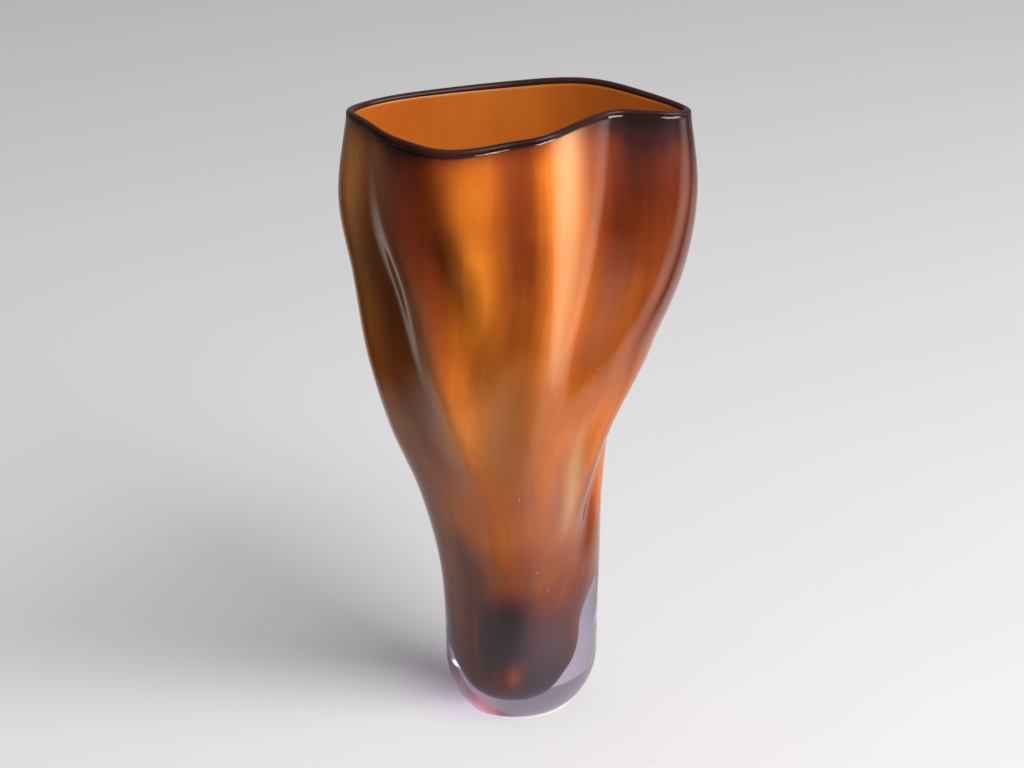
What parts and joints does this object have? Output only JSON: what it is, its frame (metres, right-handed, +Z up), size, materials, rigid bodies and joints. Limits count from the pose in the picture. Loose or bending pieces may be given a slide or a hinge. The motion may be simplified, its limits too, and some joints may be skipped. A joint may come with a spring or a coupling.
{
  "type": "freeform glass vase",
  "caption": "Tall freeform glass vase with a pinched oval mouth, folded amber walls cased in clear glass, a dark lip wrap and a thick clear foot.",
  "frame": {"origin": "middle of the ground flat under the foot", "axes": "+Z up to the mouth, -Y towards the front with the folded panel, +X to the viewer's right"},
  "size_m": [0.1907, 0.12, 0.3639],
  "materials": {
    "clear_glass": "fire polished clear glass with a faint lilac tint",
    "amethyst_glass": "thin violet overlay, deep and nearly black in the pool at the bottom",
    "amber_glass": "satin amber glass with a lustre inside",
    "aubergine_glass": "glossy dark aubergine glass"
  },
  "bodies": {
    "root": {"clear_casing": "clear_glass", "amethyst_veil": "amethyst_glass", "amber_bubble": "amber_glass", "lip_wrap": "aubergine_glass"}
  },
  "joints": []
}
